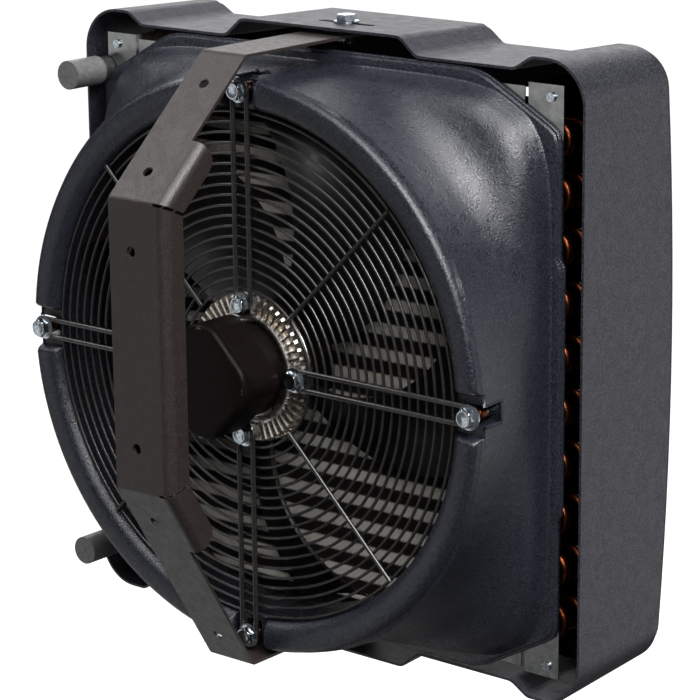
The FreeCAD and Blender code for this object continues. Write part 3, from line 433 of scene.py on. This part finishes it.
# The ring's section from its foot over the shoulder into the throat: distance, depth.
RING = ((272.1, -109), (272, -110.5), (271.7, -112), (270.9, -114), (269.6, -115.6),
        (267.8, -116.6), (265.5, -117), (261, -117), (257, -116.8), (253.5, -116.2),
        (250.4, -115), (247.6, -113), (245.2, -110.2), (243.4, -106.6), (242.2, -102),
        (241.4, -95), (240.8, -84), (240.5, -68), (240.5, -50))


def curve_through(keys, steps):
    """Points on a smooth curve through the keys, evenly spread between them."""
    found = []
    last = len(keys) - 1
    for i in range(last):
        before, start, end, after = (Vector(keys[min(max(j, 0), last)])
                                     for j in (i - 1, i, i + 1, i + 2))
        for step in range(steps):
            t = step / steps
            found.append(0.5 * ((2 * start) + (end - before) * t
                                + (2 * before - 5 * start + 4 * end - after) * t * t
                                + (3 * start - before - 3 * end + after) * t ** 3))
    return found + [Vector(keys[-1])]


def shroud_section(angle):
    """The pressed sheet's section at an angle: (distance from the axis, depth)."""
    edge, foot = flange_reach(angle), body_reach(angle)
    top = MEETING + CORNER_SPREAD * smooth((foot - RING_OUTER) / SPREAD_OVER)
    bend = min(foot + BEND_OUTSIDE, edge - LIP_WIDTH)
    start = bend - BEND_WIDTH
    rows = [(edge - inside, depth) for inside, depth in LIP]
    rows += [(bend - inside, depth) for inside, depth in BEND]
    rows += [(start + (top - start) * share.x, BODY_FOOT - BODY_RISE * share.y)
             for share in curve_through(BODY_KEYS, 4)]
    return rows + list(RING)


def notched(distance, depth, aside):
    """Sink the ring into a notch near each bolt, with a channel for the bolt."""
    if depth < NOTCH_DEPTH:
        away = min(max((abs(aside) - NOTCH_HALF) / NOTCH_ROUND, 0), 1)
        share = math.sqrt(1 - (1 - away) ** 2)
        depth = NOTCH_DEPTH + (depth - NOTCH_DEPTH) * share
    if abs(aside) < CHANNEL_HALF and distance > CHANNEL_INNER and depth < CHANNEL_DEPTH:
        depth = CHANNEL_DEPTH
    return depth


# Angles between one notch and the next.
STEPS_BETWEEN = 56


def shroud_angles():
    """Angles round the shroud: close together at the notches and wider elsewhere."""
    near = [CHANNEL_HALF - 0.8, CHANNEL_HALF - 0.1, CHANNEL_HALF + 0.1, CHANNEL_HALF + 0.8]
    near += [NOTCH_HALF - 3, NOTCH_HALF - 0.6]
    near += [NOTCH_HALF + NOTCH_ROUND * (1 - math.cos(i * math.pi / 16)) for i in range(9)]
    sides = sorted([-n for n in near] + [-5, 0, 5] + near)
    edge = math.asin(sides[-1] / RING_OUTER)
    angles = []
    for quarter in range(4):
        start = quarter * math.pi / 2
        angles += [start + math.asin(s / RING_OUTER) for s in sides]
        first, last = angles[-1], start + math.pi / 2 - edge
        angles += [first + (last - first) * i / STEPS_BETWEEN for i in range(1, STEPS_BETWEEN)]
    return angles


def build_shroud():
    columns = []
    for angle in shroud_angles():
        quarter = round(angle / (math.pi / 2)) * math.pi / 2
        aside = RING_OUTER * math.sin(angle - quarter)
        column = []
        for distance, depth in shroud_section(angle):
            depth = notched(distance, depth, aside)
            column.append(at(distance * math.cos(angle), depth, distance * math.sin(angle)))
        columns.append(column)
    rows = [[column[i] for column in columns] for i in range(len(columns[0]))]
    mesh = grid_mesh("shroud_skin", rows)
    item = finished("shroud_skin", mesh, "shroud_paint", "unit", "fan_shroud", sharp=50)
    skin = item.modifiers.new("sheet", "SOLIDIFY")
    skin.thickness = SHEET * MM
    skin.offset = -1
    apply_modifiers(item)


# ---- guard ------------------------------------------------------------------

FIRST_RING = 75.5
RING_COUNT = 18
RING_STEPS = 160


def wire_rings(name, radii, depth, wire, slot, node):
    """Round wires about the fan's axis, as one piece."""
    curve = bpy.data.curves.new(name, "CURVE")
    curve.dimensions = "3D"
    curve.bevel_depth = wire / 2 * MM
    curve.bevel_resolution = 3
    for radius in radii:
        spline = curve.splines.new("POLY")
        spline.points.add(RING_STEPS - 1)
        spline.use_cyclic_u = True
        for i, entry in enumerate(spline.points):
            turn = 2 * math.pi * i / RING_STEPS
            entry.co = (*at(radius * math.cos(turn), depth, radius * math.sin(turn)), 1)
    item = bpy.data.objects.new(name, curve)
    scene.collection.objects.link(item)
    mesh = bpy.data.meshes.new_from_object(item)
    bpy.data.objects.remove(item)
    return finished(name, mesh, slot, "unit", node, sharp=60)


def build_guard():
    low, high = unit_box("guard_rings")
    wire = high.y - low.y
    outer = high.x - wire / 2
    radii = [FIRST_RING + (outer - FIRST_RING) * i / (RING_COUNT - 1) for i in range(RING_COUNT)]
    wire_rings("guard_wires", radii, (low.y + high.y) / 2, wire, "guard_black", "guard_rings")


# ---- bolts ------------------------------------------------------------------

BOLT_FLATS = 16
BOLT_HEIGHT = 9.3
SHANK_RADIUS = 5

# From the shank's end to the head's top: radius, height above the flange's seat,
# and whether the hexagon's flats cut the radius down.
BOLT_ROWS = ((0, None, False), (4.4, None, False), (SHANK_RADIUS, 0, False), (11.2, 0.1, False),
             (11.9, 0.6, False), (11.7, 1.5, False), (10.6, 2.1, False), (9.6, 2.4, False),
             (9.6, 2.8, True), (9.3, 7.4, True), (8.7, 8.3, True), (7.9, 8.9, True),
             (7.2, 9.2, False), (6.2, 9.2, False), (5.2, 8.8, False), (0, 8.6, False))


def spun(shape, centre, rows, turn=0, count=48):
    """Add a closed form turned about an axis along Y through centre to a bmesh."""
    rings = []
    for radius, height, hexagonal in rows:
        ring = []
        for i in range(count):
            angle = 2 * math.pi * i / count
            reach = radius
            if hexagonal:
                sixth = (angle + math.pi / 6) % (math.pi / 3) - math.pi / 6
                reach = min(radius, BOLT_FLATS / 2 / math.cos(sixth))
            ring.append(shape.verts.new(centre + MM * Vector((
                reach * math.cos(angle + turn), -height, reach * math.sin(angle + turn)))))
        rings.append(ring)
    for first, second in zip(rings, rings[1:]):
        for i in range(count):
            j = (i + 1) % count
            shape.faces.new((first[i], second[i], second[j], first[j]))


def build_bolts(name, node, circle, reach):
    """Hexagon flange bolts on a circle, with shanks that reach that far behind the seat."""
    low, _ = unit_box(node)
    seat = low.y + BOLT_HEIGHT
    shape = bmesh.new()
    for quarter in range(4):
        angle = quarter * math.pi / 2
        rows = [(r, -reach if h is None else h, six) for r, h, six in BOLT_ROWS]
        centre = at(circle * math.cos(angle), seat, circle * math.sin(angle))
        spun(shape, centre, rows, turn=0.4 + 0.9 * quarter)
    finished(name, solid_mesh(name, shape), "zinc", "unit", node, sharp=28)


# ---- motor flange -----------------------------------------------------------

TEETH = 54
TOOTH_ROOT = 55
TOOTH_DEPTH = 8.5
BOSS_CIRCLE = 62
BOSS_REACH = 9.5
SLEEVE_RADIUS = 22
WEB_THICKNESS = 4.5

# The rolled rim, from the teeth inwards: distance inside the teeth's root, depth behind
# the front.
RIM = ((0.5, 4), (1.5, 1.4), (3.5, 0), (6, 0.2), (8, 2), (9, 5))

# A tooth's corners, as shares of its half width and whether each is at the front.
TOOTH_CORNERS = ((-1.3, False), (-0.75, True), (0.75, True), (1.3, False))


def build_motor_flange():
    """The cast flange: a rolled inner rim, a dished web and a comb of cooling teeth."""
    low, high = unit_box("motor_flange")
    front, reach = low.y, high.x
    web = front + TOOTH_DEPTH
    shape = bmesh.new()
    back = web + WEB_THICKNESS
    rows = [(0, high.y), (SLEEVE_RADIUS, high.y), (SLEEVE_RADIUS, back), (reach - 1, back),
            (reach, back - 0.6), (reach, web + 0.6), (reach - 0.6, web), (TOOTH_ROOT, web)]
    rows += [(TOOTH_ROOT - inside, front + behind) for inside, behind in RIM]
    rows += [(SLEEVE_RADIUS - 2, front + 6), (0, front + 6)]
    spun(shape, at(0, 0, 0), [(radius, -y, False) for radius, y in rows], count=144)
    for i in range(TEETH):
        turn = 2 * math.pi * (i + 0.5) / TEETH
        beside_bolt = abs(math.sin(2 * turn)) * BOSS_CIRCLE < BOSS_REACH * 2
        if beside_bolt:
            continue
        out = Vector((math.cos(turn), 0, math.sin(turn)))
        side = Vector((-math.sin(turn), 0, math.cos(turn)))
        ends = []
        for distance, behind, half in ((TOOTH_ROOT - 2, 0.8, 1.1), (reach - 3, 0.0, 1.7),
                                       (reach - 0.6, 2.6, 1.9)):
            ends.append([shape.verts.new(UNIT + MM * (
                out * distance + side * half * share
                + Vector((0, front + behind if at_front else web + 1, 0))))
                for share, at_front in TOOTH_CORNERS])
        for first, second in zip(ends, ends[1:]):
            for j in range(4):
                k = (j + 1) % 4
                shape.faces.new((first[j], second[j], second[k], first[k]))
        shape.faces.new(ends[0])
        shape.faces.new(ends[-1])
    mesh = solid_mesh("motor_flange_casting", shape)
    finished("motor_flange_casting", mesh, "cast_aluminium", "unit", "motor_flange", sharp=30)


# ---- terminal box lid -------------------------------------------------------

LID_HALF = 47.4
LID_CORNER = 30
CORNER_STEPS = 12

# From the lid's back edge to its face: how far the outline grows and the depth behind the face.
LID_ROWS = ((0, None), (0.2, 9.6), (0, 9.0), (-1.1, 8.5), (-1.1, 7.6), (0, 7.1), (0.1, 6.2),
            (0, 4.4), (-0.5, 2.6), (-1.6, 1.1), (-3.4, 0.25), (-6, 0))


def build_lid():
    """A moulded lid: a square on its corner with a groove round its edge."""
    low, high = unit_box("terminal_lid")
    half, slant = LID_HALF - LID_CORNER, math.sqrt(0.5)
    rows = []
    for grow, behind in LID_ROWS:
        y = high.y if behind is None else low.y + behind
        ring = []
        for corner in range(4):
            side_x = half if corner in (0, 3) else -half
            side_z = half if corner in (0, 1) else -half
            for i in range(CORNER_STEPS + 1):
                angle = (corner + i / CORNER_STEPS) * math.pi / 2
                across = side_x + (LID_CORNER + grow) * math.cos(angle)
                up = side_z + (LID_CORNER + grow) * math.sin(angle)
                ring.append(at((across - up) * slant, y, (across + up) * slant))
        rows.append(ring)
    mesh = grid_mesh("terminal_lid_cover", rows)
    shape = bmesh.new()
    shape.from_mesh(mesh)
    shape.verts.ensure_lookup_table()
    count = len(rows[0])
    shape.faces.new(shape.verts[:count])
    shape.faces.new(shape.verts[-count:])
    bpy.data.meshes.remove(mesh)
    mesh = solid_mesh("terminal_lid_cover", shape)
    finished("terminal_lid_cover", mesh, "black_plastic", "unit", "terminal_lid", sharp=40)


# ---- fins -------------------------------------------------------------------

FIN_PITCH = 3.2
FIN_THICKNESS = 0.25


def build_fins():
    low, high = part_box("fin_pack")
    count = round((high.x - low.x) / (FIN_PITCH * MM))
    thickness = FIN_THICKNESS * MM
    shape = bmesh.new()
    for i in range(count + 1):
        x = low.x + thickness / 2 + (high.x - low.x - thickness) * i / count
        middle = Matrix.Translation((x, (low.y + high.y) / 2, (low.z + high.z) / 2))
        size = Matrix.Diagonal((thickness, high.y - low.y, high.z - low.z, 1))
        bmesh.ops.create_cube(shape, size=1, matrix=middle @ size)
    mesh = bpy.data.meshes.new("fins")
    shape.to_mesh(mesh)
    shape.free()
    finished("fins", mesh, "fin_aluminium", "unit", "fin_pack")


# ---- studio -----------------------------------------------------------------

CAMERA_TURN = math.radians(39.6)
CAMERA_RISE = math.radians(14.82)
CAMERA_ROLL = math.radians(-0.56)
CAMERA_DISTANCE = 2697.68
CAMERA_ASIDE = 27.05
CAMERA_LIFT = -4.99
LENS = 145.38
SENSOR = 36


def build_camera():
    back = Vector((math.sin(CAMERA_TURN) * math.cos(CAMERA_RISE),
                   -math.cos(CAMERA_TURN) * math.cos(CAMERA_RISE), math.sin(CAMERA_RISE)))
    level = Vector((0, 0, 1)).cross(back).normalized()
    upright = back.cross(level)
    right = level * math.cos(CAMERA_ROLL) + upright * math.sin(CAMERA_ROLL)
    up = upright * math.cos(CAMERA_ROLL) - level * math.sin(CAMERA_ROLL)
    place = right * CAMERA_ASIDE + up * CAMERA_LIFT + back * CAMERA_DISTANCE
    camera = bpy.data.objects.new("camera", bpy.data.cameras.new("camera"))
    camera.data.lens = LENS
    camera.data.sensor_width = SENSOR
    camera.data.clip_end = 200
    turn = Matrix((right, up, back)).transposed().to_4x4()
    camera.matrix_world = Matrix.Translation(at(*place)) @ turn
    scene.collection.objects.link(camera)
    scene.camera = camera


FLOOR_REACH = 60
FLOOR_DROP = 0.9

# Name, turn and rise in degrees, then distance, width and height in metres, and glow.
SOFTBOXES = (
    ("key", 68, 43, 2.4, 0.9, 0.6, 24),
    ("front", 42, 24, 3.0, 0.6, 0.6, 17),
    ("upper", -69, 46, 2.6, 1.0, 0.8, 5),
    ("back", 215, 26, 3.0, 3.0, 1.6, 1.6),
    ("right", 138, -10, 3.0, 3.0, 2.4, 0.7),
    ("left", -40, -9, 2.8, 1.6, 1.4, 0.5),
    ("low", -70, -48, 1.4, 1.2, 1.2, 0.5))


def direction(turn, rise):
    """Towards a light: turn in degrees from the wall side to +X, rise above the floor."""
    a, e = math.radians(turn), math.radians(rise)
    return Vector((math.sin(a) * math.cos(e), -math.cos(a) * math.cos(e), math.sin(e)))


def softbox(name, turn, rise, distance, width, height, glow):
    """An area light that faces the unit; glow is its brightness, with 1 as white paper."""
    light = bpy.data.lights.new(name, "AREA")
    light.shape = "RECTANGLE"
    light.size, light.size_y = width, height
    light.energy = glow * math.pi * width * height
    item = bpy.data.objects.new(name, light)
    towards = direction(turn, rise)
    item.location = UNIT + towards * distance
    item.rotation_euler = towards.to_track_quat("Z", "Y").to_euler()
    scene.collection.objects.link(item)


def build_studio():
    floor = bpy.data.meshes.new("floor")
    level = cad_box[0][2] - FLOOR_DROP
    floor.from_pydata([(x * FLOOR_REACH, y * FLOOR_REACH, level)
                       for x, y in ((-1, -1), (1, -1), (1, 1), (-1, 1))],
                      [], [(0, 1, 2, 3)])
    item = bpy.data.objects.new("floor", floor)
    scene.collection.objects.link(item)
    item.visible_glossy = False
    item.visible_diffuse = False
    pale = Look("pale_floor", (0.93, 0.93, 0.93), 0.9)
    pale.tint(pale.noise(400), (0.92, 0.92, 0.92), (0.94, 0.94, 0.94))
    item.data.materials.append(pale.material)
    world = bpy.data.worlds.new("studio")
    world.use_nodes = True
    world.node_tree.nodes["Background"].inputs["Color"].default_value = (0.97, 0.98, 1, 1)
    world.node_tree.nodes["Background"].inputs["Strength"].default_value = 0.10
    scene.world = world
    sun = bpy.data.lights.new("sky", "SUN")
    sun.energy = 3.7
    sun.angle = math.radians(60)
    sky = bpy.data.objects.new("sky", sun)
    sky.rotation_euler = direction(60, 68).to_track_quat("Z", "Y").to_euler()
    scene.collection.objects.link(sky)
    for box in SOFTBOXES:
        softbox(*box)
    scene.view_settings.view_transform = "Standard"


build_bolts("guard_flange_bolts", "guard_bolts", 261, 34)
build_bolts("motor_flange_bolts", "motor_bolts", 62, 8)
build_motor_flange()
build_lid()
build_shroud()
build_guard()
build_fins()
build_camera()
build_studio()
